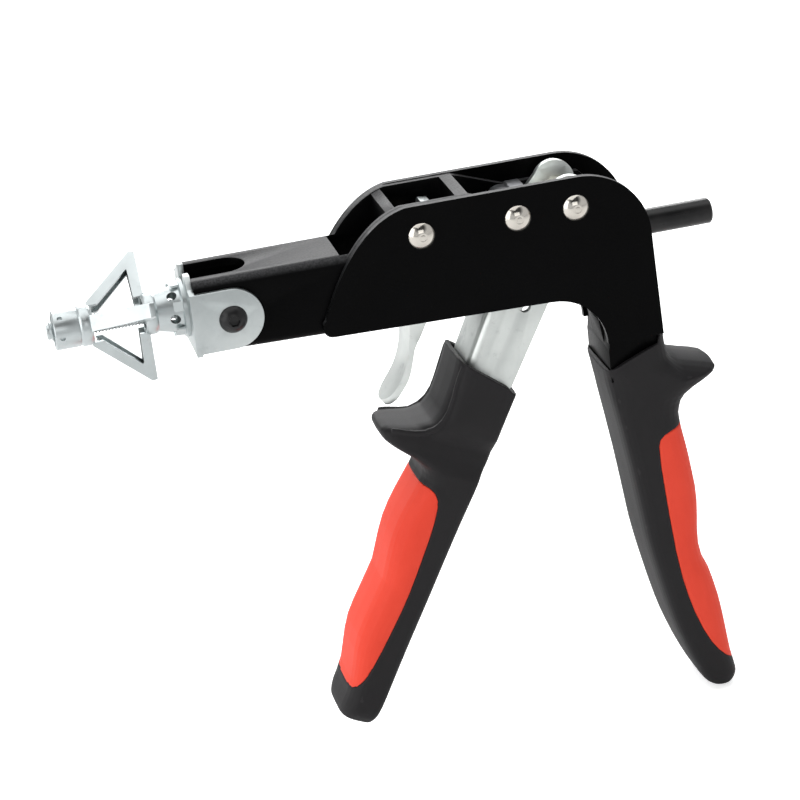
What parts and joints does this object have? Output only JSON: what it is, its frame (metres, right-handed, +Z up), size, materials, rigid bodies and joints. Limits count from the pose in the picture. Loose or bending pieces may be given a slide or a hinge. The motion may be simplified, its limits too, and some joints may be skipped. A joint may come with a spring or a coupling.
{
  "type": "hollow wall anchor setting tool",
  "caption": "Plier-grip setting tool for hollow wall anchors: a squeeze lever walks a rod that pulls the anchor's screw, a trigger releases it, and a set anchor sits in the nose.",
  "frame": {"origin": "centre of the nose plate's front face, on the pull axis, where an anchor's flange seats", "axes": "+X along the pull rod from the nose to the rod's free tail; +Z up, from the grips to the body; +Y across the body"},
  "size_m": [0.2082, 0.0402, 0.1823],
  "materials": {
    "black_paint": "satin black stoved paint",
    "zinc_plate": "bright zinc plating",
    "black_oxide": "black oxide on steel",
    "nickel": "polished nickel plating",
    "grey_steel": "hardened steel, oiled",
    "spring_steel": "drawn wire",
    "grip_black": "fine moulded texture",
    "grip_red": "soft matt over-moulding"
  },
  "bodies": {
    "housing": {"frame_casting": "black_paint", "side_plate_near": "black_paint", "side_plate_far": "black_paint", "nose_bracket": "zinc_plate", "bracket_screws": "black_oxide", "trigger_rivet": "nickel", "middle_rivet": "nickel", "lever_rivet": "nickel", "middle_spacer": "grey_steel", "rear_grip": "grip_black", "rear_grip_insert": "grip_red", "return_spring": "spring_steel", "lock_spring": "spring_steel"},
    "lever": {"front_lever": "zinc_plate", "lever_bush": "nickel", "drive_pin": "grey_steel", "front_grip": "grip_black", "front_grip_insert": "grip_red"},
    "drive_plates": {"drive_plate_front": "grey_steel", "drive_plate_rear": "grey_steel"},
    "lock": {"lock_plate": "zinc_plate"},
    "trigger": {"release_trigger": "zinc_plate"},
    "rod": {"pull_rod": "black_oxide", "pull_claw": "grey_steel", "claw_pin": "spring_steel", "anchor_sleeve": "zinc_plate", "anchor_nut": "zinc_plate", "anchor_screw": "zinc_plate"}
  },
  "joints": [
    {"name": "lever_pivot", "type": "hinge", "parent": "housing", "child": "lever", "pos_m": [0.12, 0, 0.0135], "axis": [0, -1, 0], "range_deg": [0, 18], "stiffness_Nm_per_rad": 1.5, "springref_deg": -17.19},
    {"name": "drive_slide", "type": "slide", "parent": "housing", "child": "drive_plates", "axis": [1, 0, 0], "range_m": [0, 0.0078], "deforming": ["return_spring"]},
    {"name": "trigger_pivot", "type": "hinge", "parent": "housing", "child": "trigger", "pos_m": [0.0718, 0, 0.0135], "axis": [0, -1, 0], "range_deg": [0, 6], "stiffness_Nm_per_rad": 0.3, "springref_deg": -11.46},
    {"name": "lock_tilt", "type": "hinge", "parent": "housing", "child": "lock", "pos_m": [0.0749, 0, 0.0135], "axis": [0, -1, 0], "range_deg": [0, 6]},
    {"name": "rod_slide", "type": "slide", "parent": "housing", "child": "rod", "axis": [1, 0, 0], "range_m": [-0.0245, 0]}
  ],
  "couplings": [
    {"joint": "drive_slide", "follows": "lever_pivot", "m_per_rad": 0.0248},
    {"joint": "lock_tilt", "follows": "trigger_pivot", "ratio": 1}
  ]
}
